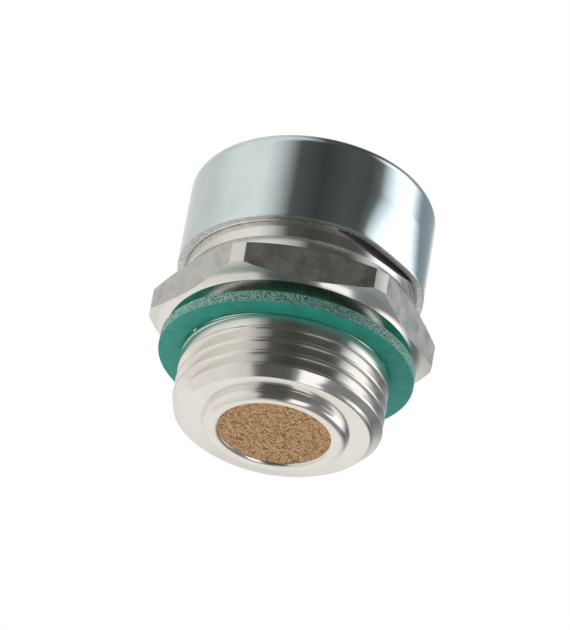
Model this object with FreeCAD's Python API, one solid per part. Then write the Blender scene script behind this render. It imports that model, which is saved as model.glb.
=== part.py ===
"""Breather vent cap with a G 3/4 spigot.

A turned hexagon body carries a sintered bronze disc in its lower end, a loose
fibre gasket under its hexagon and a drawn steel cap pressed on its collar.
Two channels milled across the collar let the air out under the rim of the cap,
and the wall of the cap is crimped a little inwards over them.
Lengths are in millimetres. The axis is Z, and the rolled lip stands on Z = 0.
"""
import FreeCAD, Part
import math
import os
from FreeCAD import Vector

# Rolled lip and the raised boss round it
lip_opening_diameter = 14.16
lip_edge_thickness = 0.2
lip_crest_diameter = 15.2
boss_base_diameter = 18.5
boss_round = 1.1
boss_foot_height = 1.2
end_face_height = 1.1

# Spigot end and pipe thread
spigot_end_chamfer = 1.6
spigot_end_round = 0.9
thread_major_diameter = 26.44
thread_flank_angle = 27.5
undercut_diameter = 23.9
undercut_width = 3.45
undercut_round = 0.4

# Hexagon
sealing_face_height = 12.7
sealing_face_diameter = 31.1
hexagon_across_flats = 32.0
hexagon_corner_diameter = 35.9
hexagon_height = 4.9
hexagon_dish_height = 1.0
hexagon_dish_radius = 6.0
hexagon_chamfer_angle = 25.0

# Collar under the cap
collar_root_diameter = 30.8
collar_root_height = 2.3
collar_diameter = 29.1
collar_free_height = 2.8
cap_land_height = 3.4
cap_land_lead_in = 0.5

# Air passage and disc seat
vent_bore_diameter = 12.0
vent_bore_lead_in = 0.5
vent_channel_diameter = 16.0
vent_channel_offset = 19.3
vent_channel_height = 27.0
vent_channel_turn = 39.0
disc_diameter = 15.5
disc_thickness = 3.0
disc_bevel_width = 0.75
disc_bevel_height = 0.45
disc_radial_clearance = 0.03

# Drawn cap
cap_outer_diameter = 31.3
cap_wall = 0.9
cap_height = 13.1
cap_corner_radius = 2.0
cap_rim_above_hexagon = 4.5
cap_press_clearance = 0.0
crimp_depth = 0.73
crimp_height = 7.0
crimp_radius = 30.0
crimp_turn = 44.0

# Loose gasket, hanging a little askew on the first turn of the thread
gasket_ring_width = 3.0
gasket_bore_undersize = 0.24
gasket_thickness = 1.5
gasket_lean = 2.4
gasket_rest_clearance = 0.05

# Heights and diameters that follow from the sizes above
disc_face_height = lip_edge_thickness
disc_back_height = disc_face_height + disc_thickness
hexagon_top_height = sealing_face_height + hexagon_height
thread_top_height = sealing_face_height - undercut_width
cap_rim_height = hexagon_top_height + cap_rim_above_hexagon
collar_root_top_height = hexagon_top_height + collar_root_height
cap_land_start_height = collar_root_top_height + collar_free_height
collar_top_height = cap_land_start_height + cap_land_height
cap_bore_diameter = cap_outer_diameter - 2 * cap_wall
cap_land_diameter = cap_bore_diameter - 2 * cap_press_clearance
gasket_bore_diameter = thread_major_diameter - gasket_bore_undersize
gasket_outer_diameter = gasket_bore_diameter + 2 * gasket_ring_width


def polar(centre, radius, angle):
    """A point of the outline at an angle in degrees round a centre."""
    turn = math.radians(angle)
    return (centre[0] + radius * math.cos(turn), centre[1] + radius * math.sin(turn))


def bend(centre, radius, first_angle, last_angle):
    """The middle and end points of an arc of the outline."""
    middle = polar(centre, radius, (first_angle + last_angle) / 2)
    return (middle, polar(centre, radius, last_angle))


def revolved(start, steps):
    """A solid of revolution about Z from an outline in radius and height.

    A step is either the end of a straight edge or the middle and end of an arc.
    """
    edges = []
    here = Vector(start[0], 0, start[1])
    for step in steps + [start]:
        if isinstance(step[0], tuple):
            middle = Vector(step[0][0], 0, step[0][1])
            end = Vector(step[1][0], 0, step[1][1])
            edges.append(Part.Arc(here, middle, end).toShape())
        else:
            end = Vector(step[0], 0, step[1])
            edges.append(Part.LineSegment(here, end).toShape())
        here = end
    return Part.Face(Part.Wire(edges)).revolve(Vector(), Vector(0, 0, 1), 360)


def lip_steps():
    """The lip, rounded from the disc down to its flat crest, and round again to the boss's foot."""
    opening = lip_opening_diameter / 2
    crest = lip_crest_diameter / 2
    slope = 2 * math.degrees(math.atan2(lip_edge_thickness, crest - opening))
    radius = (crest - opening) / math.sin(math.radians(slope))
    boss = boss_base_diameter / 2
    return [
        bend((crest, radius), radius, -90 - slope, -90),
        (boss - boss_round, 0),
        bend((boss - boss_round, boss_round), boss_round, -90, 0),
        (boss, boss_foot_height),
    ]


def spigot_steps():
    """The dished end face, end chamfer, thread, undercut and sealing face, going up."""
    thread_radius = thread_major_diameter / 2
    neck_radius = undercut_diameter / 2
    setback = spigot_end_round * math.tan(math.radians(22.5))
    round_centre = (thread_radius - spigot_end_chamfer - setback, end_face_height + spigot_end_round)
    neck_centre = (neck_radius + undercut_round, sealing_face_height - undercut_round)
    flank_rise = (thread_radius - neck_radius) * math.tan(math.radians(thread_flank_angle))
    return [
        (round_centre[0], end_face_height),
        bend(round_centre, spigot_end_round, -90, -45),
        (thread_radius, end_face_height + spigot_end_chamfer),
        (thread_radius, thread_top_height),
        (neck_radius, thread_top_height + flank_rise),
        (neck_radius, neck_centre[1]),
        bend(neck_centre, undercut_round, 180, 90),
        (sealing_face_diameter / 2, sealing_face_height),
    ]


def hexagon_steps():
    """The dished lower side, the corner cylinder and the upper chamfer of the hexagon bar."""
    corner = hexagon_corner_diameter / 2
    reach = corner - sealing_face_diameter / 2
    chord = math.hypot(reach, hexagon_dish_height)
    slope = math.degrees(math.atan2(hexagon_dish_height, reach))
    half_turn = math.degrees(math.asin(chord / 2 / hexagon_dish_radius))
    first = 90 + slope + half_turn
    last = 90 + slope - half_turn
    offset = polar((0, 0), hexagon_dish_radius, first)
    centre = (sealing_face_diameter / 2 - offset[0], sealing_face_height - offset[1])
    upper_rise = (corner - hexagon_across_flats / 2) * math.tan(math.radians(hexagon_chamfer_angle))
    return [
        bend(centre, hexagon_dish_radius, first, last),
        (corner, hexagon_top_height - upper_rise),
        (hexagon_across_flats / 2, hexagon_top_height),
        (collar_root_diameter / 2, hexagon_top_height),
    ]


def collar_steps():
    """The flared root, the free collar and the land that grips the cap."""
    collar = collar_diameter / 2
    land = cap_land_diameter / 2
    return [
        (collar, collar_root_top_height),
        (collar, cap_land_start_height),
        (land, cap_land_start_height + land - collar),
        (land, collar_top_height - cap_land_lead_in),
        (land - cap_land_lead_in, collar_top_height),
    ]


def passage_steps():
    """The vent bore and the disc seat, from the collar's top down to the lip."""
    bore = vent_bore_diameter / 2
    seat = disc_diameter / 2 + disc_radial_clearance
    return [
        (bore + vent_bore_lead_in, collar_top_height),
        (bore, collar_top_height - vent_bore_lead_in),
        (bore, disc_back_height),
        (seat, disc_back_height),
        (seat, disc_face_height + disc_bevel_height),
        (disc_diameter / 2, disc_face_height + disc_bevel_height),
    ]


def hexagon_prism(across_flats, bottom, height):
    """An upright hexagonal prism with two of its flats facing -Y and +Y."""
    corner_radius = across_flats / math.sqrt(3)
    corners = [polar((0, 0), corner_radius, 60 * index) for index in range(7)]
    wire = Part.makePolygon([Vector(x, y, bottom) for x, y in corners])
    return Part.Face(wire).extrude(Vector(0, 0, height))


def milled_flats():
    """The waste that leaves the six flats of the hexagon."""
    blank = Part.makeCylinder(hexagon_corner_diameter, hexagon_height, Vector(0, 0, sealing_face_height))
    return blank.cut(hexagon_prism(hexagon_across_flats, sealing_face_height, hexagon_height))


def vent_channels():
    """The two round-bottomed cuts across opposite sides of the collar."""
    length = 2 * cap_outer_diameter
    radius = vent_channel_diameter / 2
    cuts = []
    for side in (-1, 1):
        start = Vector(-length / 2, side * vent_channel_offset, vent_channel_height)
        cut = Part.makeCylinder(radius, length, start, Vector(1, 0, 0))
        cut.rotate(Vector(), Vector(0, 0, 1), vent_channel_turn)
        cuts.append(cut)
    return cuts


def make_body():
    """The hexagon body, turned and then milled, with its lip rolled over the disc."""
    start = (lip_opening_diameter / 2, disc_face_height)
    steps = lip_steps() + spigot_steps() + hexagon_steps() + collar_steps() + passage_steps()
    return revolved(start, steps).cut([milled_flats()] + vent_channels())


def make_filter_disc():
    """The sintered bronze disc, its lower edge bevelled where the lip holds it."""
    radius = disc_diameter / 2
    start = (0, disc_face_height)
    steps = [
        (radius - disc_bevel_width, disc_face_height),
        (radius, disc_face_height + disc_bevel_height),
        (radius, disc_back_height),
        (0, disc_back_height),
    ]
    return revolved(start, steps)


def make_sealing_gasket():
    """The fibre ring, resting on the first turn of the thread."""
    outer = gasket_outer_diameter / 2
    bore = gasket_bore_diameter / 2
    lean = math.radians(gasket_lean)
    flank_rise = (thread_major_diameter / 2 - bore) * math.tan(math.radians(thread_flank_angle))
    middle_height = (thread_top_height + flank_rise + gasket_rest_clearance
                     + bore * math.sin(lean) + gasket_thickness / 2 * math.cos(lean))
    base = Vector(0, 0, middle_height - gasket_thickness / 2)
    ring = Part.makeCylinder(outer, gasket_thickness, base)
    ring = ring.cut(Part.makeCylinder(bore, gasket_thickness, base))
    ring.rotate(Vector(0, 0, middle_height), Vector(1, 0, 0), gasket_lean)
    return ring


def drawn_cup(inset):
    """The round cup of the cap, its surface moved inwards by an inset."""
    radius = cap_outer_diameter / 2
    top = cap_rim_height + cap_height
    corner = (radius - cap_corner_radius, top - cap_corner_radius)
    steps = [
        (radius - inset, cap_rim_height),
        (radius - inset, corner[1]),
        bend(corner, cap_corner_radius - inset, 0, 90),
        (0, top - inset),
    ]
    return revolved((0, cap_rim_height), steps)


def crimp_limits(inset):
    """Two leaning cylinders that flatten the lower wall over the vent channels."""
    lean = math.degrees(math.atan2(crimp_depth, crimp_height))
    reach = cap_outer_diameter / 2 - crimp_depth
    limits = []
    for turn in (crimp_turn, crimp_turn + 180):
        foot = Vector(-crimp_radius, 0, -cap_height)
        limit = Part.makeCylinder(crimp_radius - inset, 3 * cap_height, foot)
        limit.rotate(Vector(), Vector(0, 1, 0), lean)
        limit.translate(Vector(reach, 0, cap_rim_height))
        limit.rotate(Vector(), Vector(0, 0, 1), turn - 90)
        limits.append(limit)
    return limits


def make_cap():
    """The drawn steel cap, with one wall all over, a sheared rim and two crimps."""
    outside = drawn_cup(0)
    inside = drawn_cup(cap_wall)
    for outer_limit, inner_limit in zip(crimp_limits(0), crimp_limits(cap_wall)):
        outside = outside.common(outer_limit)
        inside = inside.common(inner_limit)
    return outside.cut(inside)


def main():
    """Build each piece and write it to its own file."""
    pieces = {
        "body": make_body(),
        "filter_disc": make_filter_disc(),
        "sealing_gasket": make_sealing_gasket(),
        "cap": make_cap(),
    }
    os.makedirs("parts", exist_ok=True)
    for name, shape in pieces.items():
        solid = shape.removeSplitter()
        solid.exportStep(f"parts/{name}.step")
        box = solid.BoundBox
        print(f"{name}: {len(solid.Solids)} solid, valid {solid.isValid()}, {solid.Volume:.1f} mm3, "
              f"Z {box.ZMin:.2f} to {box.ZMax:.2f}")


main()
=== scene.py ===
"""Breather vent cap: its pieces, finishes and studio."""
import math
import random

import bpy
from bpy.props import FloatProperty, FloatVectorProperty, IntProperty, PointerProperty
from mathutils import Matrix, Vector


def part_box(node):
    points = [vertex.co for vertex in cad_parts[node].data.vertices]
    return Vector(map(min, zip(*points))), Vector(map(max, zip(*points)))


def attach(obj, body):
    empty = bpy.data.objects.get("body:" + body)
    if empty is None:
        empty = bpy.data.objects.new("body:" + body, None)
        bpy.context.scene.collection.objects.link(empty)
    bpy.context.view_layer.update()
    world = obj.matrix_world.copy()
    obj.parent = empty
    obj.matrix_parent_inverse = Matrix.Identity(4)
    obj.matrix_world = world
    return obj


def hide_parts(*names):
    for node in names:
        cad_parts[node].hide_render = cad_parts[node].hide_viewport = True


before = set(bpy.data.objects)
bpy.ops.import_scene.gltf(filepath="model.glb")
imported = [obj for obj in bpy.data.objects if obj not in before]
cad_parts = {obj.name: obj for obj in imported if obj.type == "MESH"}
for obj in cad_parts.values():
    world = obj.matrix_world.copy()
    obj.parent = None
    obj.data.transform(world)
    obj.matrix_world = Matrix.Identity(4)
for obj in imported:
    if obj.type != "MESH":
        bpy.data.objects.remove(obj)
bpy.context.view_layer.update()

bl_info = {
    "name": "Breather Vent Cap",
    "version": (1, 0, 0),
    "blender": (4, 5, 0),
    "location": "View3D > Sidebar > Vent",
    "description": "Models a breather vent cap with a pipe thread, a sintered disc and a pressed cap",
    "category": "Object",
}

MM = 0.001
ROOT_BODY = "root"

# The 55 degree pipe thread: its half angle, and its sizes as shares of the pitch
THREAD_HALF_ANGLE = math.radians(27.5)
THREAD_DEPTH = 0.640327
THREAD_ROOT_ROUND = 0.137329
THREAD_CREST_CUT = 0.160082
THREAD_CREST_EASING = 0.05

# How near to a plane or radius a vertex or face counts as on it
TOUCH = 0.01 * MM

# Radius at which the metals' sharp edges catch the light
EDGE_ROUND = 0.07 * MM

# Order of the body's materials
TURNED, MILLED, CORNER, CHANNEL = range(4)


def length_property(name, description, default_mm):
    """A length in metres, given here in millimetres."""
    return FloatProperty(name=name, description=description, default=default_mm * MM,
                         min=0.0, precision=6, unit="LENGTH")


def angle_property(name, description, default_degrees):
    """An angle in radians, given here in degrees."""
    return FloatProperty(name=name, description=description,
                         default=math.radians(default_degrees), unit="ROTATION")


def colour_property(name, description, default):
    """A colour that a user would change."""
    return FloatVectorProperty(name=name, description=description, default=default,
                               size=3, min=0.0, max=1.0, subtype="COLOR")


class VentBodySizes(bpy.types.PropertyGroup):
    """Sizes of the turned hexagon body."""

    segments: IntProperty(name="Segments", description="Steps round the body", default=288, min=48)
    lip_opening: length_property("Lip Opening", "Radius of the opening in the rolled lip", 7.08)
    lip_edge: length_property("Lip Edge", "Height of the lip at its opening", 0.2)
    lip_crest: length_property("Lip Crest", "Radius where the lip's round meets its flat land", 7.6)
    boss_radius: length_property("Boss Radius", "Radius at the foot of the boss", 9.25)
    boss_round: length_property("Boss Round", "Radius between the lip and the boss's side", 1.1)
    boss_foot: length_property("Boss Foot", "Height at the foot of the boss", 1.2)
    foot_round: length_property("Foot Round", "Radius at the foot of the boss", 0.08)
    end_face: length_property("End Face Height", "Height of the end face at its outer edge", 1.1)
    end_chamfer: length_property("End Chamfer", "Height of the chamfer at the end of the thread", 1.0)
    end_angle: angle_property("End Angle", "Angle of the end chamfer", 35.0)
    end_round: length_property("End Round", "Radius between end face and chamfer", 0.4)
    thread_radius: length_property("Thread Radius", "Major radius of the pipe thread", 13.22)
    thread_pitch: length_property("Thread Pitch", "Rise of the thread in one turn", 1.814)
    thread_crest: length_property("Thread Crest", "Height of a crest in front of the part", 7.443)
    plain_bottom: length_property("Plain Bottom", "Height where the plain shank begins", 7.8)
    thread_top: length_property("Thread Top", "Height where the shank ends", 9.25)
    shank_taper: FloatProperty(name="Shank Taper", description="Widening of the shank with height",
                               default=0.19)
    neck_radius: length_property("Neck Radius", "Radius of the undercut", 11.95)
    neck_round: length_property("Neck Round", "Radius between undercut and sealing face", 0.4)
    seal_height: length_property("Sealing Face Height", "Height of the sealing face", 12.7)
    seal_radius: length_property("Sealing Face Radius", "Radius of the sealing face", 15.55)
    dish_slope: angle_property("Dish Slope", "Slope of the hexagon's lower side at the sealing face", 45.0)
    dish_round: length_property("Dish Round", "Radius along which the lower side flattens", 3.11)
    flat_slope: angle_property("Flattest Slope", "Slope of the lower side where it is flattest", 14.0)
    swell_round: length_property("Swell Round", "Radius towards the hexagon's corners", 3.5)
    hexagon_radius: length_property("Hexagon Radius", "Distance from the axis to a flat", 16.0)
    corner_radius: length_property("Corner Radius", "Radius of the hexagon's turned corners", 17.95)
    hexagon_top: length_property("Hexagon Top", "Height of the hexagon's top face", 17.6)
    chamfer_angle: angle_property("Hexagon Chamfer", "Angle of the hexagon's upper chamfer", 25.0)
    root_radius: length_property("Root Radius", "Radius at the foot of the collar", 15.4)
    root_top: length_property("Root Top", "Height where the collar turns upright", 19.9)
    collar_radius: length_property("Collar Radius", "Radius of the collar", 14.55)
    land_bottom: length_property("Land Bottom", "Height where the gripping land begins", 22.15)
    land_radius: length_property("Land Radius", "Radius of the land that grips the cap", 14.75)
    collar_top: length_property("Collar Top", "Height of the collar inside the cap", 26.1)
    collar_lead: length_property("Collar Lead-in", "Chamfers at the top of the collar", 0.5)
    bore_radius: length_property("Bore Radius", "Radius of the vent bore", 6.0)
    seat_radius: length_property("Seat Radius", "Radius of the disc seat", 7.78)
    seat_top: length_property("Seat Top", "Height of the shoulder behind the disc", 3.2)
    seat_bevel: length_property("Seat Bevel", "Height of the seat's bevel under the disc's edge", 0.45)
    channel_radius: length_property("Channel Radius", "Radius of the milled vent channels", 8.0)
    channel_offset: length_property("Channel Offset", "Distance of a channel's line from the axis", 19.3)
    channel_height: length_property("Channel Height", "Height of a channel's line", 27.0)
    channel_turn: angle_property("Channel Turn", "Turn of the channels from the front flat", 39.0)


class VentDiscSizes(bpy.types.PropertyGroup):
    """Sizes of the sintered disc."""

    radius: length_property("Disc Radius", "Outer radius of the disc", 7.74)
    face: length_property("Face Height", "Height of the ground between the grains", 0.28)
    top: length_property("Top Height", "Height of the disc's back", 3.2)
    bevel: length_property("Bevel", "Width of the bevel at the lower edge", 0.5)
    grain: length_property("Grain", "Mean distance between grains", 0.27)


class VentGasketSizes(bpy.types.PropertyGroup):
    """Sizes of the loose gasket."""

    bore: length_property("Bore Radius", "Radius of the gasket's hole", 13.1)
    outer: length_property("Outer Radius", "Radius of the gasket's rim", 16.1)
    thickness: length_property("Thickness", "Thickness of the gasket", 1.5)
    edge: length_property("Edge Round", "Radius of the cut edges", 0.06)
    lean: angle_property("Lean", "Angle at which the gasket hangs on the thread", 2.4)
    segments: IntProperty(name="Segments", description="Steps round the gasket", default=240, min=48)


class VentCapSizes(bpy.types.PropertyGroup):
    """Sizes of the drawn cap."""

    segments: IntProperty(name="Segments", description="Steps round the cap", default=288, min=48)
    radius: length_property("Cap Radius", "Outer radius of the cap", 15.65)
    wall: length_property("Wall", "Thickness of the drawn wall", 0.9)
    height: length_property("Height", "Height of the cap", 13.1)
    corner: length_property("Corner Radius", "Outer radius round the crown", 2.0)
    rim: length_property("Rim Height", "Height of the cap's rim", 22.1)
    rim_round: length_property("Rim Round", "Radius of the sheared rim's edges", 0.08)
    crimp_depth: length_property("Crimp Depth", "How far the rim is pressed in over a channel", 0.73)
    crimp_height: length_property("Crimp Height", "Height where the crimps run out", 7.0)
    crimp_turn: angle_property("Crimp Turn", "Turn of the crimps from the front", 44.0)
    crimp_spread: angle_property("Crimp Spread", "Half the angle that a crimp takes up", 30.0)


class VentColours(bpy.types.PropertyGroup):
    """Colours of the finishes."""

    turned: colour_property("Turned Metal", "Bright turned body", (0.86, 0.835, 0.80))
    milled: colour_property("Milled Flats", "Satin hexagon flats", (0.66, 0.64, 0.62))
    zinc: colour_property("Zinc Plate", "Bright plated cap", (0.76, 0.85, 0.87))
    sheared: colour_property("Sheared Rim", "Grey cut edge of the cap", (0.74, 0.76, 0.76))
    fibre: colour_property("Gasket Face", "Green pressed fibre", (0.038, 0.510, 0.405))
    fibre_edge: colour_property("Gasket Edge", "Paler cut edge of the fibre", (0.20, 0.42, 0.36))
    bronze: colour_property("Sintered Bronze", "Tan bronze grains", (1.0, 0.62, 0.34))
    # Painted shade: this dark colour in the ground between the bronze grains stands in for the shade in the
    # pores
    bronze_pore_shade: colour_property("Bronze Pits", "Dark ground between the grains", (0.34, 0.13, 0.04))


def deselect_everything():
    """Clear the selection and leave edit mode."""
    if bpy.context.object and bpy.context.object.mode != "OBJECT":
        bpy.ops.object.mode_set(mode="OBJECT")
    bpy.ops.object.select_all(action="DESELECT")


def make_active(piece):
    """Select one piece alone."""
    deselect_everything()
    piece.select_set(True)
    bpy.context.view_layer.objects.active = piece


def select_parts(piece, kind, chosen):
    """Select the faces or edges of a piece that pass a test, and stay in edit mode."""
    make_active(piece)
    bpy.ops.object.mode_set(mode="EDIT")
    bpy.ops.mesh.select_mode(type=kind)
    bpy.ops.mesh.select_all(action="DESELECT")
    bpy.ops.object.mode_set(mode="OBJECT")
    for part in piece.data.polygons if kind == "FACE" else piece.data.edges:
        part.select = chosen(part)
    bpy.ops.object.mode_set(mode="EDIT")


def edge_heights(piece, edge):
    """Heights of an edge's two ends."""
    return [piece.data.vertices[index].co.z for index in edge.vertices]


def apply_place(piece):
    """Move a piece's place, turn and scale into its mesh."""
    make_active(piece)
    bpy.ops.object.transform_apply(location=True, rotation=True, scale=True)


def arc_points(centre, radius, first_degrees, last_degrees, steps):
    """Points in radius and height on an arc, without its first point."""
    points = []
    for index in range(1, steps + 1):
        turn = math.radians(first_degrees + (last_degrees - first_degrees) * index / steps)
        points.append((centre[0] + radius * math.cos(turn), centre[1] + radius * math.sin(turn)))
    return points


def spun_piece(name, profile, segments):
    """Draw a profile by extruding one point, and spin it round the Z axis."""
    deselect_everything()
    bpy.ops.mesh.primitive_plane_add(size=MM, location=(profile[0][0], 0, profile[0][1]))
    piece = bpy.context.object
    piece.name = name
    apply_place(piece)
    bpy.ops.object.mode_set(mode="EDIT")
    bpy.ops.mesh.select_mode(type="VERT")
    bpy.ops.mesh.select_all(action="SELECT")
    bpy.ops.mesh.merge(type="CENTER")
    for here, there in zip(profile, profile[1:]):
        step = (there[0] - here[0], 0, there[1] - here[1])
        bpy.ops.mesh.extrude_region_move(TRANSFORM_OT_translate={"value": step})
    bpy.ops.mesh.select_all(action="SELECT")
    bpy.ops.mesh.spin(steps=segments, angle=math.tau, center=(0, 0, 0), axis=(0, 0, 1))
    bpy.ops.mesh.select_all(action="SELECT")
    bpy.ops.mesh.remove_doubles(threshold=0.001 * MM)
    bpy.ops.mesh.normals_make_consistent(inside=False)
    bpy.ops.object.mode_set(mode="OBJECT")
    return piece


def linked_piece(name, points, faces):
    """A piece made from points and faces."""
    mesh = bpy.data.meshes.new(name)
    mesh.from_pydata(points, [], faces)
    piece = bpy.data.objects.new(name, mesh)
    bpy.context.scene.collection.objects.link(piece)
    return piece


def smooth_finish(piece, degrees):
    """Shade smooth with creases, and let large faces rule the normals."""
    make_active(piece)
    bpy.ops.object.shade_smooth_by_angle(angle=math.radians(degrees))
    weighted = piece.modifiers.new("Weighted Normals", "WEIGHTED_NORMAL")
    weighted.keep_sharp = True
    bpy.ops.object.modifier_apply(modifier=weighted.name)


def dress(piece, cad_node, materials):
    """Give a piece its materials and its place in the model."""
    for material in materials:
        piece.data.materials.append(material)
    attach(piece, ROOT_BODY)
    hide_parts(cad_node)


def thread_form(pitch, radius):
    """Points of one thread, its crest eased at the lower edge, as axial offset and radius."""
    root_round = THREAD_ROOT_ROUND * pitch
    root_centre = radius - THREAD_DEPTH * pitch + root_round
    half_crest = THREAD_CREST_CUT * pitch * math.tan(THREAD_HALF_ANGLE)
    easing = THREAD_CREST_EASING * pitch
    half_arc = math.pi / 2 - THREAD_HALF_ANGLE
    arc_steps = 6
    flank_steps = 6
    crest = [(half_crest * index / 2, radius - easing * ((2 - index) / 4) ** 2) for index in range(-2, 3)]
    root = []
    for index in range(-arc_steps, arc_steps + 1):
        turn = half_arc * index / arc_steps
        root.append((pitch / 2 + root_round * math.sin(turn), root_centre - root_round * math.cos(turn)))

    def flank(start, end):
        return [(start[0] + (end[0] - start[0]) * step / flank_steps,
                 start[1] + (end[1] - start[1]) * step / flank_steps)
                for step in range(1, flank_steps)]

    next_crest = (crest[0][0] + pitch, crest[0][1])
    return crest + flank(crest[-1], root[0]) + root + flank(root[-1], next_crest)


def form_radius(form, pitch, offset):
    """Radius of the thread at an axial offset from a crest."""
    points = form + [(form[0][0] + pitch, form[0][1])]
    offset %= pitch
    if offset > points[-1][0]:
        offset -= pitch
    for low, high in zip(points, points[1:]):
        if low[0] <= offset <= high[0]:
            share = (offset - low[0]) / (high[0] - low[0])
            return low[1] + (high[1] - low[1]) * share
    return form[0][1]


def threaded_sleeve(sizes):
    """The helical thread between the end chamfer and the undercut.

    Each row follows the helix, and both ends run out on a cone. The groove ends under a plain shank.
    """
    pitch = sizes.thread_pitch
    form = thread_form(pitch, sizes.thread_radius)
    count = sizes.segments
    start = sizes.end_face + sizes.end_round * (1 - math.cos(sizes.end_angle))
    cone = 1 / math.tan(sizes.end_angle)
    start_radius = sizes.thread_radius - (sizes.end_face + sizes.end_chamfer - start) * cone
    flank = math.tan(THREAD_HALF_ANGLE)
    end = sizes.thread_top + (sizes.thread_radius - sizes.neck_radius) * flank
    turns = math.ceil((end - start) / pitch) + 3
    base = sizes.thread_crest - pitch * (math.ceil((sizes.thread_crest - start) / pitch) + 2)
    groove_run_out = 2.0

    rows = len(form) * turns
    points = []
    for column in range(count):
        turn = math.tau * column / count
        rise = base + pitch * column / count
        for row in range(rows):
            offset, radius = form[row % len(form)]
            height = rise + pitch * (row // len(form)) + offset
            if not start <= height <= end:
                height = min(max(height, start), end)
                radius = form_radius(form, pitch, height - rise)
            shank = sizes.thread_radius - sizes.shank_taper * (sizes.thread_top - height)
            radius = max(radius, shank - groove_run_out * max(sizes.plain_bottom - height, 0.0))
            radius = min(radius, start_radius + (height - start) * cone,
                         sizes.thread_radius - (height - sizes.thread_top) / flank)
            points.append((radius * math.sin(turn), -radius * math.cos(turn), height))
    faces = []
    for column in range(count):
        shift = len(form) if column == count - 1 else 0
        left = column * rows
        right = ((column + 1) % count) * rows + shift
        for row in range(rows - 1 - shift):
            faces.append((left + row, right + row, right + row + 1, left + row + 1))
    return linked_piece("thread", points, faces)


def body_profile(sizes):
    """The turned outline from the undercut up, down the bore and out to the end chamfer."""
    flank = math.tan(THREAD_HALF_ANGLE)
    neck = sizes.neck_radius
    upper_rise = (sizes.corner_radius - sizes.hexagon_radius) * math.tan(sizes.chamfer_angle)
    steep = math.degrees(sizes.dish_slope)
    flattest = math.degrees(sizes.flat_slope)
    dish_centre = (sizes.seal_radius + sizes.dish_round * math.sin(sizes.dish_slope),
                   sizes.seal_height - sizes.dish_round * math.cos(sizes.dish_slope))
    reach = sizes.dish_round + sizes.swell_round
    swell_centre = (dish_centre[0] - reach * math.sin(sizes.flat_slope),
                    dish_centre[1] + reach * math.cos(sizes.flat_slope))
    steepest = math.degrees(math.asin((sizes.corner_radius - swell_centre[0]) / sizes.swell_round))
    setback = sizes.end_round * math.tan(sizes.end_angle / 2)
    end_start = sizes.thread_radius - sizes.end_chamfer / math.tan(sizes.end_angle)
    lip_reach = sizes.lip_crest - sizes.lip_opening
    lip_slope = 2 * math.degrees(math.atan2(sizes.lip_edge, lip_reach))
    lip_curve = lip_reach / math.sin(math.radians(lip_slope))
    boss_centre = (sizes.boss_radius - sizes.boss_round, sizes.boss_round)
    foot_centre = (sizes.boss_radius + sizes.foot_round, sizes.boss_foot - sizes.foot_round)
    end_centre = (end_start - setback, sizes.end_face + sizes.end_round)
    profile = [
        (neck, sizes.thread_top + (sizes.thread_radius - neck) * flank),
        (neck, sizes.seal_height - sizes.neck_round),
    ]
    profile += arc_points((neck + sizes.neck_round, sizes.seal_height - sizes.neck_round),
                          sizes.neck_round, 180, 90, 8)
    profile.append((sizes.seal_radius, sizes.seal_height))
    profile += arc_points(dish_centre, sizes.dish_round, 90 + steep, 90 + flattest, 10)
    profile += arc_points(swell_centre, sizes.swell_round, flattest - 90, steepest - 90, 10)[1:]
    profile += [
        (sizes.corner_radius, sizes.hexagon_top - upper_rise),
        (sizes.hexagon_radius - TOUCH, sizes.hexagon_top),
        (sizes.root_radius, sizes.hexagon_top),
        (sizes.collar_radius, sizes.root_top),
        (sizes.collar_radius, sizes.land_bottom),
        (sizes.land_radius, sizes.land_bottom + sizes.land_radius - sizes.collar_radius),
        (sizes.land_radius, sizes.collar_top - sizes.collar_lead),
        (sizes.land_radius - sizes.collar_lead, sizes.collar_top),
        (sizes.bore_radius + sizes.collar_lead, sizes.collar_top),
        (sizes.bore_radius, sizes.collar_top - sizes.collar_lead),
        (sizes.bore_radius, sizes.seat_top),
        (sizes.seat_radius, sizes.seat_top),
        (sizes.seat_radius, sizes.lip_edge + sizes.seat_bevel),
        (sizes.lip_opening, sizes.lip_edge),
    ]
    profile += arc_points((sizes.lip_crest, lip_curve), lip_curve, -90 - lip_slope, -90, 8)
    profile.append((boss_centre[0], 0.0))
    profile += arc_points(boss_centre, sizes.boss_round, -90, 0, 16)
    profile.append((sizes.boss_radius, foot_centre[1]))
    profile += arc_points(foot_centre, sizes.foot_round, 180, 90, 4)
    profile.append((end_centre[0], sizes.end_face))
    profile += arc_points(end_centre, sizes.end_round, -90, math.degrees(sizes.end_angle) - 90, 6)
    return profile


def flat_directions():
    """Unit vectors from the axis to the six flats."""
    turns = [math.radians(30 + 60 * index) for index in range(6)]
    return [Vector((math.cos(turn), math.sin(turn), 0)) for turn in turns]


def cut_flats(piece, sizes):
    """Bisect the turned blank on six sides, and fill each cut with a flat."""
    make_active(piece)
    bpy.ops.object.mode_set(mode="EDIT")
    for away in flat_directions():
        bpy.ops.mesh.select_all(action="SELECT")
        bpy.ops.mesh.bisect(plane_co=away * sizes.hexagon_radius, plane_no=away,
                            use_fill=True, clear_outer=True, threshold=0.0001 * MM)
    bpy.ops.object.mode_set(mode="OBJECT")


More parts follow.
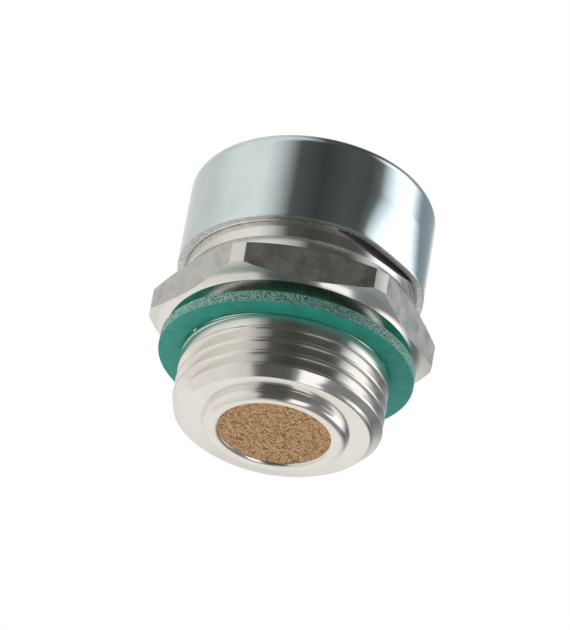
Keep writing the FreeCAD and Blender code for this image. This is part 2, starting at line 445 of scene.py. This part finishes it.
def cut_channels(piece, sizes):
    """Mill the two vent channels across the collar."""
    turn = Matrix.Rotation(sizes.channel_turn, 3, "Z")
    cutter_length = 62 * MM
    for side in (-1, 1):
        deselect_everything()
        place = turn @ Vector((0, side * sizes.channel_offset, sizes.channel_height))
        bpy.ops.mesh.primitive_cylinder_add(
            vertices=256, radius=sizes.channel_radius, depth=cutter_length, location=place,
            rotation=(0, math.pi / 2, sizes.channel_turn))
        cutter = bpy.context.object
        apply_place(cutter)
        make_active(piece)
        cut = piece.modifiers.new("Vent Channel", "BOOLEAN")
        cut.operation = "DIFFERENCE"
        cut.solver = "EXACT"
        cut.object = cutter
        bpy.ops.object.modifier_apply(modifier=cut.name)
        bpy.data.objects.remove(cutter)


def mark_faces(piece, sizes):
    """Give the flats, the turned corner strips and the milled channels their own materials."""
    unturn = Matrix.Rotation(-sizes.channel_turn, 3, "Z")
    directions = flat_directions()
    for face in piece.data.polygons:
        centre = face.center
        place = unturn @ centre
        reach = math.hypot(abs(place.y) - sizes.channel_offset, place.z - sizes.channel_height)
        upright = sizes.seal_height < centre.z < sizes.hexagon_top and abs(face.normal.z) <= 0.1
        if abs(reach - sizes.channel_radius) < 2 * TOUCH:
            face.material_index = CHANNEL
        elif upright and math.hypot(centre.x, centre.y) > sizes.hexagon_radius - 10 * TOUCH:
            straight = max(abs(face.normal.dot(away)) for away in directions)
            face.material_index = MILLED if straight > 0.99999 else CORNER


class NodeDesk:
    """Adds and links the nodes of a material or a world."""

    def __init__(self, owner):
        owner.use_nodes = True
        self.tree = owner.node_tree
        self.places = self.tree.nodes.new("ShaderNodeTexCoord").outputs

    def feed(self, socket, value):
        """Link a socket to another one, or set its value."""
        if isinstance(value, bpy.types.NodeSocket):
            self.tree.links.new(value, socket)
        else:
            socket.default_value = value

    def node(self, kind, settings=None, **inputs):
        """A node with its settings, and its inputs fed by name or, after an i, by number."""
        made = self.tree.nodes.new(kind)
        for key, value in (settings or {}).items():
            setattr(made, key, value)
        for key, value in inputs.items():
            numbered = key[0] == "i" and key[1:].isdigit()
            self.feed(made.inputs[int(key[1:]) if numbered else key], value)
        return made

    def math(self, operation, first, second=0.0):
        """One arithmetic step."""
        return self.node("ShaderNodeMath", {"operation": operation}, i0=first, i1=second).outputs[0]

    def parts(self, vector):
        """The X, Y and Z of a vector."""
        return self.node("ShaderNodeSeparateXYZ", Vector=vector).outputs

    def ramp(self, value, stops):
        """Colours along a value."""
        made = self.node("ShaderNodeValToRGB", Fac=value)
        elements = made.color_ramp.elements
        while len(elements) < len(stops):
            elements.new(0.5)
        for element, (place, colour) in zip(elements, stops):
            element.position = place
            element.color = (*colour, 1.0)
        return made.outputs["Color"]

    def mix(self, factor, first, second):
        """The second colour over the first."""
        return self.node("ShaderNodeMix", {"data_type": "RGBA"}, i0=factor, i6=first, i7=second).outputs[2]

    def spread(self, value, low, high, out_low=0.0, out_high=1.0):
        """A value moved from one range to another."""
        return self.node("ShaderNodeMapRange", i0=value, i1=low, i2=high, i3=out_low, i4=out_high).outputs[0]


class MaterialDesk(NodeDesk):
    """Adds and links the nodes of one material."""

    def __init__(self, name):
        self.material = bpy.data.materials.new(name)
        super().__init__(self.material)
        self.shader = self.tree.nodes["Principled BSDF"]
        self.coords = self.places["Object"]

    def scaled(self, vector, scale):
        """A vector times a factor on each axis."""
        return self.node("ShaderNodeVectorMath", {"operation": "MULTIPLY"}, i0=vector, i1=scale).outputs[0]

    def noise(self, vector, scale, detail=2.0, roughness=0.5):
        """Fine or broad cloudy variation."""
        return self.node("ShaderNodeTexNoise", Vector=vector, Scale=scale, Detail=detail,
                         Roughness=roughness).outputs["Fac"]

    def cells(self, scale):
        """Packed cells, with a distance from each centre and a colour for each."""
        return self.node("ShaderNodeTexVoronoi", {"feature": "F1"}, Vector=self.coords, Scale=scale).outputs

    def turning(self):
        """Radius, height and angle round the axis, in metres and radians."""
        x, y, height = self.parts(self.coords)
        flat = self.scaled(self.coords, (1, 1, 0))
        radius = self.node("ShaderNodeVectorMath", {"operation": "LENGTH"}, i0=flat).outputs["Value"]
        return radius, height, self.math("ARCTAN2", y, x)

    def around(self):
        """The direction round the axis."""
        return self.node("ShaderNodeVectorMath", {"operation": "CROSS_PRODUCT"}, i0=(0, 0, 1),
                         i1=self.coords).outputs[0]

    def soft_edges(self):
        """Normals that round off the sharp edges."""
        return self.node("ShaderNodeBevel", {"samples": 6}, Radius=EDGE_ROUND).outputs[0]

    def bump(self, height, distance, strength=1.0, below=None):
        """A bump, on top of an earlier one if given."""
        inputs = {"Height": height, "Distance": distance, "Strength": strength}
        if below is not None:
            inputs["Normal"] = below
        return self.node("ShaderNodeBump", **inputs).outputs["Normal"]

    def finish(self, **inputs):
        """Set the shader's sockets and give the material."""
        for key, value in inputs.items():
            self.feed(self.shader.inputs[key.replace("_", " ")], value)
        return self.material


def tinted(colour, factor):
    """A colour made darker or lighter."""
    return tuple(min(1.0, part * factor) for part in colour)


def turned_metal(colour):
    """Bright lathe-turned metal with fine rings round the axis, duller towards the hexagon's corners."""
    desk = MaterialDesk("turned_metal")
    radius, height, _ = desk.turning()
    rings = desk.node("ShaderNodeCombineXYZ", X=radius, Y=height).outputs[0]
    fine = desk.noise(rings, 9000.0, 3.0, 0.6)
    coarse = desk.noise(rings, 1800.0, 2.0)
    cloud = desk.noise(desk.coords, 350.0, 3.0)
    normal = desk.bump(coarse, 0.002 * MM, 0.25, desk.soft_edges())
    normal = desk.bump(fine, 0.001 * MM, 0.25, normal)
    shade = desk.spread(cloud, 0.3, 0.7, 0.97, 1.02)
    tone = desk.node("ShaderNodeVectorMath", {"operation": "SCALE"}, i0=tuple(colour), Scale=shade).outputs[0]
    bright, dull = 16.2 * MM, 16.9 * MM
    roughness = desk.math("ADD", desk.spread(fine, 0.3, 0.7, 0.11, 0.16),
                          desk.spread(radius, bright, dull, 0.0, 0.28))
    return desk.finish(Base_Color=tone, Metallic=1.0, Roughness=roughness, Normal=normal,
                       Tangent=desk.around(), Anisotropic=0.8, Anisotropic_Rotation=0.25)


def milled_metal(colour):
    """Satin hexagon flat with blotches and small scratches."""
    desk = MaterialDesk("milled_metal")
    cloud = desk.noise(desk.coords, 420.0, 6.0, 0.7)
    grain = desk.noise(desk.coords, 7000.0, 2.0)
    scratches = desk.node("ShaderNodeTexWave", {"wave_type": "BANDS", "bands_direction": "DIAGONAL"},
                          Vector=desk.coords, Scale=1400.0, Distortion=14.0, Detail=3.0).outputs["Fac"]
    normal = desk.bump(grain, 0.004 * MM, 0.5, desk.soft_edges())
    normal = desk.bump(scratches, 0.001 * MM, 0.3, normal)
    tone = desk.ramp(cloud, [(0.3, tinted(colour, 0.74)), (0.48, tuple(colour)), (0.7, tinted(colour, 1.15))])
    return desk.finish(Base_Color=tone, Metallic=1.0, Normal=normal,
                       Roughness=desk.spread(cloud, 0.35, 0.65, 0.33, 0.52))


def corner_metal(colour, corner_radius):
    """Bright corner strip with fine slanting machining lines."""
    desk = MaterialDesk("corner_metal")
    line_pitch = 0.24 * MM
    line_slant = 0.8
    _, height, angle = desk.turning()
    slant = desk.math("ADD", desk.math("MULTIPLY", angle, corner_radius * line_slant), height)
    lines = desk.math("SINE", desk.math("MULTIPLY", slant, math.tau / line_pitch))
    normal = desk.bump(lines, 0.006 * MM, 0.6, desk.soft_edges())
    tone = desk.ramp(desk.spread(lines, -1.0, 1.0), [(0.2, tinted(colour, 0.78)), (0.7, tuple(colour))])
    return desk.finish(Base_Color=tone, Metallic=1.0, Normal=normal, Roughness=0.2)


def channel_metal_painted_light(colour):
    """Dull metal in the milled channels, with painted light: a matt colour 1.4 times that of the milled
    flats, to brighten the shaded slit under the cap's rim.
    """
    desk = MaterialDesk("channel_metal_painted_light")
    grain = desk.noise(desk.coords, 2500.0, 3.0)
    # Painted light: the colour is lifted 1.4 times above the milled flats to brighten the shaded slit under
    # the rim
    return desk.finish(Base_Color=(*tinted(colour, 1.4), 1.0), Metallic=0.0, Roughness=0.7,
                       Normal=desk.bump(grain, 0.01 * MM, 0.5))


def zinc_plate(colour):
    """Bright zinc plate with a mottled skin and light scratches."""
    desk = MaterialDesk("zinc_plate")
    mottle = desk.noise(desk.coords, 1500.0, 6.0, 0.7)
    cloud = desk.noise(desk.coords, 180.0, 3.0, 0.55)
    pits = desk.cells(2600.0)["Distance"]
    normal = desk.bump(mottle, 0.004 * MM, 0.5)
    normal = desk.bump(pits, 0.001 * MM, 0.3, normal)
    tone = desk.ramp(cloud, [(0.3, tinted(colour, 0.92)), (0.6, tuple(colour)), (0.8, tinted(colour, 1.05))])
    return desk.finish(Base_Color=tone, Metallic=1.0, Normal=normal,
                       Roughness=desk.spread(mottle, 0.3, 0.7, 0.06, 0.13))


def sheared_metal(colour):
    """Grey granular cut edge of the cap."""
    desk = MaterialDesk("sheared_metal")
    grain = desk.noise(desk.coords, 3500.0, 5.0, 0.75)
    tone = desk.ramp(grain, [(0.3, tinted(colour, 0.55)), (0.55, tuple(colour)), (0.72, tinted(colour, 1.7))])
    return desk.finish(Base_Color=tone, Metallic=1.0, Roughness=0.34,
                       Normal=desk.bump(grain, 0.02 * MM, 0.7))


def pressed_fibre(face_colour, edge_colour):
    """Green pressed fibre, paler and speckled on its cut edges."""
    desk = MaterialDesk("pressed_fibre")
    speckle = desk.noise(desk.coords, 6800.0, 2.0, 0.6)
    cloud = desk.noise(desk.coords, 700.0, 5.0, 0.65)
    face = desk.ramp(cloud, [(0.3, tinted(face_colour, 0.82)), (0.7, tinted(face_colour, 1.18))])
    cut = desk.ramp(speckle, [(0.41, tinted(edge_colour, 0.05)), (0.46, tuple(edge_colour)),
                              (0.54, tuple(edge_colour)), (0.59, tinted(edge_colour, 2.0))])
    upright = desk.parts(desk.node("ShaderNodeNewGeometry").outputs["True Normal"])["Z"]
    facing = desk.spread(desk.math("ABSOLUTE", upright), 0.5, 0.8)
    return desk.finish(Base_Color=desk.mix(facing, cut, face), Roughness=0.55,
                       Normal=desk.bump(speckle, 0.02 * MM, 0.6))


def sintered_bronze(grain_colour, pore_shade_colour, ground):
    """Tan bronze grains with painted shade: they darken towards the ground between them, where the pores lie
    in shade.
    """
    desk = MaterialDesk("sintered_bronze")
    level = desk.node("ShaderNodeSeparateColor", Color=desk.cells(3300.0)["Color"]).outputs[0]
    grain = desk.ramp(level, [(0.05, tinted(grain_colour, 0.48)), (0.35, tuple(grain_colour)),
                              (0.9, tinted(grain_colour, 1.2))])
    # Painted shade: below the grains' tops the colour blends into the dark pore colour
    depth = desk.spread(desk.parts(desk.coords)["Z"], ground - 0.06 * MM, ground - 0.01 * MM)
    return desk.finish(Base_Color=desk.mix(depth, grain, (*pore_shade_colour, 1.0)), Metallic=0.75, Roughness=0.4)


class VENT_OT_turned_body(bpy.types.Operator):
    """Turn the body, cut its thread, flats and vent channels"""

    bl_idname = "vent.turned_body"
    bl_label = "Turned Body"

    def execute(self, context):
        sizes = context.scene.vent_body
        colours = context.scene.vent_colours
        body = spun_piece("turned_body", body_profile(sizes), sizes.segments)
        sleeve = threaded_sleeve(sizes)
        make_active(body)
        sleeve.select_set(True)
        bpy.ops.object.join()
        bpy.ops.object.mode_set(mode="EDIT")
        bpy.ops.mesh.select_all(action="SELECT")
        bpy.ops.mesh.remove_doubles(threshold=0.0015 * MM)
        bpy.ops.mesh.dissolve_degenerate(threshold=0.0001 * MM)
        bpy.ops.mesh.select_all(action="SELECT")
        bpy.ops.mesh.normals_make_consistent(inside=False)
        bpy.ops.object.mode_set(mode="OBJECT")
        cut_flats(body, sizes)
        cut_channels(body, sizes)
        mark_faces(body, sizes)
        smooth_finish(body, 14)
        dress(body, "body", [
            turned_metal(colours.turned),
            milled_metal(colours.milled),
            corner_metal(colours.turned, sizes.corner_radius),
            channel_metal_painted_light(colours.milled),
        ])
        return {"FINISHED"}


def bronze_grains(sizes):
    """Half-round grains in rows, each a little off its place and stretched at random."""
    deselect_everything()
    bpy.ops.mesh.primitive_ico_sphere_add(subdivisions=2, radius=1.0)
    ball = bpy.context.object
    bpy.ops.object.mode_set(mode="EDIT")
    bpy.ops.mesh.select_all(action="SELECT")
    bpy.ops.mesh.bisect(plane_co=(0, 0, 0.1), plane_no=(0, 0, 1), clear_outer=True)
    bpy.ops.object.mode_set(mode="OBJECT")
    shape = [vertex.co.copy() for vertex in ball.data.vertices]
    shape_faces = [tuple(face.vertices) for face in ball.data.polygons]
    bpy.data.objects.remove(ball)

    dice = random.Random(7)
    spacing = sizes.grain
    jitter = 0.15
    deepest = 0.1 * MM
    reach = sizes.radius - sizes.bevel
    row_step = spacing * math.sqrt(3) / 2
    rows = int(reach / row_step) + 1
    columns = rows + 8
    points, faces = [], []
    for row in range(-rows, rows + 1):
        for column in range(-columns, columns + 1):
            x = (column + 0.5 * (row % 2)) * spacing + dice.uniform(-jitter, jitter) * spacing
            y = row * row_step + dice.uniform(-jitter, jitter) * spacing
            size = spacing * dice.uniform(0.46, 0.55)
            lift = dice.uniform(-0.01, 0.015) * MM
            if math.hypot(x, y) > reach - 0.3 * size:
                continue
            stretch = Matrix.Diagonal((size * dice.uniform(0.8, 1.25), size * dice.uniform(0.8, 1.25),
                                       min(size, deepest)))
            turn = Matrix.Rotation(dice.uniform(0, math.tau), 3, "Z") @ stretch
            place = Vector((x, y, sizes.face + lift))
            first = len(points)
            points += [tuple(turn @ corner + place) for corner in shape]
            faces += [tuple(first + index for index in face) for face in shape_faces]
    grains = linked_piece("grains", points, faces)
    make_active(grains)
    bpy.ops.object.shade_smooth()
    return grains


class VENT_OT_sintered_disc(bpy.types.Operator):
    """Model the sintered disc with its grains"""

    bl_idname = "vent.sintered_disc"
    bl_label = "Sintered Disc"

    def execute(self, context):
        sizes = context.scene.vent_disc
        colours = context.scene.vent_colours
        deselect_everything()
        bpy.ops.mesh.primitive_cylinder_add(vertices=96, radius=sizes.radius, depth=sizes.top - sizes.face,
                                            location=(0, 0, (sizes.top + sizes.face) / 2))
        disc = bpy.context.object
        disc.name = "sintered_disc"
        apply_place(disc)
        select_parts(disc, "EDGE", lambda edge: max(edge_heights(disc, edge)) < sizes.face + TOUCH)
        bpy.ops.mesh.bevel(offset=sizes.bevel, segments=1)
        bpy.ops.object.mode_set(mode="OBJECT")

        grains = bronze_grains(sizes)
        make_active(disc)
        grains.select_set(True)
        bpy.ops.object.join()
        bronze = sintered_bronze(colours.bronze, colours.bronze_pore_shade, sizes.face)
        dress(disc, "filter_disc", [bronze])
        return {"FINISHED"}


class VENT_OT_gasket(bpy.types.Operator):
    """Spin the gasket and lean it on the thread"""

    bl_idname = "vent.gasket"
    bl_label = "Gasket"

    def execute(self, context):
        sizes = context.scene.vent_gasket
        colours = context.scene.vent_colours
        low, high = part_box("sealing_gasket")
        middle = (low.z + high.z) / 2
        half = sizes.thickness / 2
        edge = sizes.edge
        corners = [
            ((sizes.bore + edge, middle + half - edge), 180, 90),
            ((sizes.outer - edge, middle + half - edge), 90, 0),
            ((sizes.outer - edge, middle - half + edge), 0, -90),
            ((sizes.bore + edge, middle - half + edge), -90, -180),
        ]
        profile = [(sizes.bore, middle)]
        for centre, first, last in corners:
            profile.append((centre[0] + edge * math.cos(math.radians(first)),
                            centre[1] + edge * math.sin(math.radians(first))))
            profile += arc_points(centre, edge, first, last, 3)
        profile.append((sizes.bore, middle))
        gasket = spun_piece("fibre_gasket", profile, sizes.segments)
        make_active(gasket)
        bpy.ops.object.mode_set(mode="EDIT")
        bpy.ops.mesh.select_all(action="SELECT")
        bpy.ops.transform.rotate(value=-sizes.lean, orient_axis="X", center_override=(0, 0, middle))
        bpy.ops.object.mode_set(mode="OBJECT")
        smooth_finish(gasket, 40)
        dress(gasket, "sealing_gasket", [pressed_fibre(colours.fibre, colours.fibre_edge)])
        return {"FINISHED"}


def press_crimps(piece, sizes):
    """Press the lower wall in smoothly over both vent channels."""
    for vertex in piece.data.vertices:
        rise = (vertex.co.z - sizes.rim) / sizes.crimp_height
        angle = math.atan2(vertex.co.x, -vertex.co.y) - sizes.crimp_turn
        angle = abs((angle + math.pi / 2) % math.pi - math.pi / 2)
        if rise < 1.0 and angle < sizes.crimp_spread:
            share = 0.5 + 0.5 * math.cos(math.pi * angle / sizes.crimp_spread)
            depth = sizes.crimp_depth * share * (1 - rise)
            inward = 1 - depth / math.hypot(vertex.co.x, vertex.co.y)
            vertex.co.x *= inward
            vertex.co.y *= inward


class VENT_OT_drawn_cap(bpy.types.Operator):
    """Draw the cap as one wall with a round crown edge, and crimp its rim"""

    bl_idname = "vent.drawn_cap"
    bl_label = "Drawn Cap"

    def execute(self, context):
        sizes = context.scene.vent_cap
        colours = context.scene.vent_colours
        top = sizes.rim + sizes.height
        crimp_top = sizes.rim + sizes.crimp_height
        deselect_everything()
        bpy.ops.mesh.primitive_cylinder_add(vertices=sizes.segments, radius=sizes.radius,
                                            depth=top - crimp_top, location=(0, 0, (top + crimp_top) / 2))
        cap = bpy.context.object
        cap.name = "drawn_cap"
        apply_place(cap)
        select_parts(cap, "FACE", lambda face: face.normal.z < -0.5)
        bpy.ops.mesh.delete(type="FACE")
        select_parts(cap, "EDGE", lambda edge: min(edge_heights(cap, edge)) > top - TOUCH)
        bpy.ops.mesh.bevel(offset=sizes.corner, segments=14, profile=0.5)
        select_parts(cap, "EDGE", lambda edge: max(edge_heights(cap, edge)) < crimp_top + TOUCH)
        rows = 14
        for _ in range(rows):
            bpy.ops.mesh.extrude_region_move(
                TRANSFORM_OT_translate={"value": (0, 0, -sizes.crimp_height / rows)})
        make_active(cap)
        wall = cap.modifiers.new("Wall", "SOLIDIFY")
        wall.thickness = sizes.wall
        wall.offset = -1.0
        wall.use_even_offset = True
        bpy.ops.object.modifier_apply(modifier=wall.name)

        def runs_round_the_rim(edge):
            low = max(edge_heights(cap, edge)) < sizes.rim + TOUCH
            radii = [math.hypot(*cap.data.vertices[index].co.xy) for index in edge.vertices]
            return low and abs(radii[0] - radii[1]) < 10 * TOUCH

        select_parts(cap, "EDGE", runs_round_the_rim)
        bpy.ops.mesh.bevel(offset=sizes.rim_round, segments=3)
        bpy.ops.object.mode_set(mode="OBJECT")
        for face in cap.data.polygons:
            outward = face.normal.x * face.center.x + face.normal.y * face.center.y
            sheared = outward < 0 or face.center.z < sizes.rim + 0.6 * sizes.rim_round
            face.material_index = int(sheared)
        press_crimps(cap, sizes)
        smooth_finish(cap, 32)
        dress(cap, "cap", [zinc_plate(colours.zinc), sheared_metal(colours.sheared)])
        return {"FINISHED"}


def tones_round(desk, turn, stops):
    """Colours round the room, each at its bearing in degrees to the right of the front."""
    return desk.ramp(turn, [(0.5 + degrees / 360, colour) for degrees, colour in stops])


def tones_across(desk, value, stops):
    """Colours from -1 at the left to 1 at the right."""
    share = desk.math("ADD", desk.math("MULTIPLY", value, 0.5), 0.5)
    return desk.ramp(share, [(0.5 + place / 2, colour) for place, colour in stops])


def room_walls(desk, sideways, back, height):
    """The walls as the upright metal mirrors them: light, with a dark front and a bright right."""
    bearing = desk.math("ARCTAN2", sideways, desk.math("MULTIPLY", back, -1.0))
    turn = desk.math("ADD", desk.math("DIVIDE", bearing, math.tau), 0.5)
    upper = tones_round(desk, turn, [
        (-180, (0.80, 0.80, 0.77)),
        (-140, (0.66, 0.66, 0.63)),
        (-112, (0.66, 0.66, 0.63)),
        (-90, (0.79, 0.79, 0.76)),
        (-54, (0.82, 0.82, 0.79)),
        (-42, (0.60, 0.60, 0.59)),
        (-24, (0.09, 0.09, 0.085)),
        (0, (0.052, 0.052, 0.047)),
        (27, (0.085, 0.085, 0.08)),
        (46, (0.075, 0.075, 0.07)),
        (57, (0.14, 0.14, 0.14)),
        (64, (0.62, 0.65, 0.67)),
        (72, (1.08, 1.11, 1.13)),
        (80, (1.40, 1.42, 1.42)),
        (97, (1.35, 1.38, 1.40)),
        (110, (0.48, 0.51, 0.55)),
        (116, (0.25, 0.28, 0.32)),
        (135, (0.28, 0.32, 0.34)),
        (150, (0.39, 0.42, 0.43)),
        (165, (0.80, 0.82, 0.80)),
    ])
    lower = tones_round(desk, turn, [
        (-180, (0.885, 0.875, 0.845)),
        (-62, (0.845, 0.83, 0.80)),
        (-46, (0.605, 0.60, 0.57)),
        (-36, (0.13, 0.13, 0.125)),
        (-28, (0.085, 0.085, 0.08)),
        (5, (0.085, 0.085, 0.075)),
        (16, (0.165, 0.155, 0.145)),
        (70, (0.24, 0.24, 0.24)),
        (80, (0.33, 0.33, 0.33)),
        (85, (0.46, 0.46, 0.46)),
        (91, (1.195, 1.195, 1.195)),
        (110, (1.195, 1.195, 1.195)),
        (118, (0.83, 0.83, 0.83)),
        (123, (0.42, 0.42, 0.42)),
        (128, (0.14, 0.14, 0.145)),
        (138, (0.16, 0.16, 0.165)),
        (146, (0.32, 0.32, 0.315)),
        (154, (0.68, 0.67, 0.655)),
        (172, (0.885, 0.875, 0.845)),
    ])
    return desk.mix(desk.spread(height, -0.22, 0.22), lower, upper)


def room_floor(desk, sideways, pitch):
    """The floor as the lower sides mirror it: a dark and a bright strip that widen to the front."""
    fan_start, fan_growth, fan_least = 0.68, 0.95, 0.1
    widening = desk.math("MULTIPLY", desk.math("SUBTRACT", pitch, fan_start), fan_growth)
    fan = desk.math("DIVIDE", sideways, desk.math("MAXIMUM", widening, fan_least))
    behind = tones_across(desk, sideways, [
        (-0.40, (0.775, 0.765, 0.735)),
        (-0.06, (0.66, 0.655, 0.625)),
        (0.0, (0.44, 0.44, 0.425)),
        (0.04, (0.24, 0.24, 0.23)),
    ])
    below = tones_across(desk, fan, [
        (-0.70, (0.775, 0.765, 0.735)),
        (-0.39, (0.645, 0.635, 0.615)),
        (-0.31, (0.185, 0.185, 0.18)),
        (-0.25, (0.10, 0.10, 0.095)),
        (0.04, (0.10, 0.10, 0.09)),
        (0.12, (0.275, 0.275, 0.265)),
        (0.17, (1.15, 1.15, 1.14)),
        (0.39, (1.15, 1.15, 1.14)),
        (0.47, (0.275, 0.275, 0.275)),
        (0.60, (0.22, 0.22, 0.22)),
    ])
    return desk.mix(desk.spread(pitch, math.radians(58), math.radians(68)), behind, below)


def studio_world(scene):
    """White to the camera, and a mirrored room of walls, floor and ceiling for the metal."""
    world = bpy.data.worlds.new("studio")
    scene.world = world
    desk = NodeDesk(world)
    sideways, back, height = desk.parts(desk.places["Generated"])
    pitch = desk.math("ARCTAN2", desk.math("MULTIPLY", height, -1.0), back)
    walls = room_walls(desk, sideways, back, height)
    floor = room_floor(desk, sideways, pitch)
    ceiling = tones_across(desk, sideways, [
        (-0.28, (0.72, 0.74, 0.74)),
        (-0.12, (0.45, 0.46, 0.46)),
        (0.0, (0.08, 0.08, 0.08)),
        (0.60, (0.06, 0.06, 0.06)),
    ])
    within = desk.spread(desk.math("ABSOLUTE", sideways), 0.72, 0.62)
    from_back = desk.spread(pitch, math.radians(35), math.radians(42))
    to_front = desk.spread(pitch, math.radians(122), math.radians(110))
    on_floor = desk.math("MULTIPLY", desk.math("MULTIPLY", within, from_back), to_front)
    room = desk.mix(on_floor, walls, floor)
    room = desk.mix(desk.spread(height, 0.78, 0.92), room, ceiling)
    camera = desk.node("ShaderNodeLightPath").outputs["Is Camera Ray"]
    background = desk.tree.nodes["Background"]
    desk.feed(background.inputs["Color"], desk.mix(camera, room, (1.0, 1.0, 1.0, 1.0)))
    background.inputs["Strength"].default_value = 1.0


def studio_floor():
    """A pale floor that only the camera sees, and only from above."""
    deselect_everything()
    bpy.ops.mesh.primitive_plane_add(size=1.2, location=(0, 0, 0))
    floor = bpy.context.object
    floor.name = "floor"
    desk = MaterialDesk("pale_floor")
    floor.data.materials.append(desk.finish(Base_Color=(0.86, 0.86, 0.85, 1.0), Roughness=0.8))
    clear = desk.node("ShaderNodeBsdfTransparent").outputs[0]
    behind = desk.node("ShaderNodeNewGeometry").outputs["Backfacing"]
    seen = desk.node("ShaderNodeMixShader", i0=behind, i1=desk.shader.outputs[0], i2=clear).outputs[0]
    desk.feed(desk.tree.nodes["Material Output"].inputs["Surface"], seen)
    floor.visible_diffuse = False
    floor.visible_glossy = False
    floor.visible_transmission = False
    floor.visible_shadow = False


def studio_lamp(name, place, target, size, power, colour):
    """A soft rectangular lamp aimed at a point."""
    data = bpy.data.lights.new(name, "AREA")
    data.shape = "RECTANGLE"
    data.size, data.size_y = size
    data.energy = power
    data.color = colour
    lamp = bpy.data.objects.new(name, data)
    bpy.context.scene.collection.objects.link(lamp)
    lamp.location = place
    lamp.rotation_euler = (Vector(target) - Vector(place)).to_track_quat("-Z", "Y").to_euler()
    lamp.visible_glossy = False


def photo_camera(scene):
    """A long lens below the part, looking up at its spigot."""
    tilt = (
        (0.98455, -0.09217, 0.14888),
        (0.17510, 0.51826, -0.83711),
        (0.00000, 0.85024, 0.52639),
    )
    offset = Vector((1.8983, -3.6841, 628.379)) * MM
    part_turn = math.radians(2.68)
    focal_pixels = 5000
    picture_pixels = 630
    rim = Vector((0, 0, 22.1 * MM))
    turned = Matrix(tilt) @ Matrix.Rotation(part_turn, 3, "Z")
    across, down, ahead = (Vector(row) for row in turned)
    data = bpy.data.cameras.new("camera")
    data.sensor_width = 36.0
    data.lens = focal_pixels / picture_pixels * data.sensor_width
    data.clip_start = 0.05
    data.clip_end = 20
    camera = bpy.data.objects.new("camera", data)
    scene.collection.objects.link(camera)
    place = Matrix((across, -down, -ahead)).transposed().to_4x4()
    place.translation = rim - turned.transposed() @ offset
    camera.matrix_world = place
    scene.camera = camera


class VENT_OT_studio(bpy.types.Operator):
    """Set up the floor, the light and the camera"""

    bl_idname = "vent.studio"
    bl_label = "Studio"

    def execute(self, context):
        scene = context.scene
        scene.view_settings.view_transform = "Standard"
        studio_world(scene)
        studio_floor()
        centre = (0, 0, 17 * MM)
        studio_lamp("left_softbox", (-0.45, -0.30, 0.42), centre, (0.30, 0.30), 1.0, (1.0, 0.99, 0.98))
        studio_lamp("right_softbox", (0.50, 0.02, 0.36), centre, (0.22, 0.30), 1.1, (1.0, 1.0, 1.0))
        photo_camera(scene)
        return {"FINISHED"}


class VENT_PT_panel(bpy.types.Panel):
    """Lists the pieces of the vent cap"""

    bl_label = "Breather Vent Cap"
    bl_idname = "VENT_PT_panel"
    bl_space_type = "VIEW_3D"
    bl_region_type = "UI"
    bl_category = "Vent"

    def draw(self, context):
        for operator in OPERATORS:
            self.layout.operator(operator.bl_idname)


OPERATORS = (
    VENT_OT_turned_body,
    VENT_OT_sintered_disc,
    VENT_OT_gasket,
    VENT_OT_drawn_cap,
    VENT_OT_studio,
)
GROUPS = {
    "vent_body": VentBodySizes,
    "vent_disc": VentDiscSizes,
    "vent_gasket": VentGasketSizes,
    "vent_cap": VentCapSizes,
    "vent_colours": VentColours,
}


def register():
    """Register the sizes, operators and panel."""
    for name, group in GROUPS.items():
        bpy.utils.register_class(group)
        setattr(bpy.types.Scene, name, PointerProperty(type=group))
    for item in OPERATORS + (VENT_PT_panel,):
        bpy.utils.register_class(item)


def unregister():
    """Remove what register added."""
    for item in reversed(OPERATORS + (VENT_PT_panel,)):
        bpy.utils.unregister_class(item)
    for name, group in GROUPS.items():
        delattr(bpy.types.Scene, name)
        bpy.utils.unregister_class(group)


def main():
    """Make every piece and the studio."""
    register()
    bpy.ops.vent.turned_body()
    bpy.ops.vent.sintered_disc()
    bpy.ops.vent.gasket()
    bpy.ops.vent.drawn_cap()
    bpy.ops.vent.studio()


if __name__ == "__main__":
    main()
